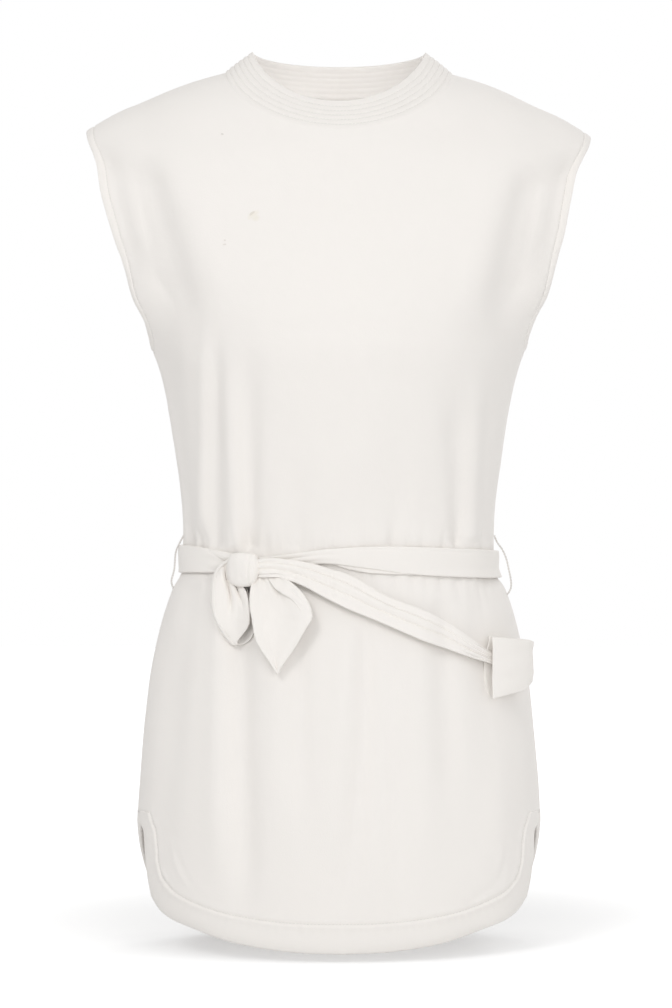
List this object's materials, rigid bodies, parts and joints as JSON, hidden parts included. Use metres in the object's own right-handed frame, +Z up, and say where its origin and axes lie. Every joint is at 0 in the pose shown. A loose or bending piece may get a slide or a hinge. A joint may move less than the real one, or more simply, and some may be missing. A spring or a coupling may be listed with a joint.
{
  "type": "tunic top",
  "caption": "Sleeveless ivory tunic top, hollow as worn, with a ribbed stand neckband, curved hem with side vents and a sash tied in front of the waist.",
  "frame": {"origin": "middle of the neck opening, level with the neckband's top edge at the sides; where the wearer's shoulders hold the garment", "axes": "+Z up along the body, +X towards the viewer's right from the front, -Y towards the front of the garment"},
  "size_m": [0.4354, 0.248, 0.7687],
  "materials": {
    "panel_cloth": "matt ivory crepe jersey, smooth and heavy",
    "band_cloth": "the same ivory cloth, doubled and stitched",
    "sash_cloth": "the same ivory cloth, folded double and soft",
    "thread": "twisted ivory sewing thread"
  },
  "bodies": {
    "root": {"front_panel_top": "panel_cloth", "front_panel_skirt": "panel_cloth", "back_panel": "panel_cloth", "neckband": "band_cloth", "armhole_band_left": "band_cloth", "armhole_band_right": "band_cloth", "hem_band_front": "band_cloth", "hem_band_back": "band_cloth", "sash_round": "sash_cloth", "sash_knot": "sash_cloth", "sash_tail_left": "sash_cloth", "sash_tail_right": "sash_cloth", "sash_long_end": "sash_cloth", "sash_end_fold": "sash_cloth", "carrier_left": "thread", "carrier_right": "thread"}
  },
  "joints": []
}
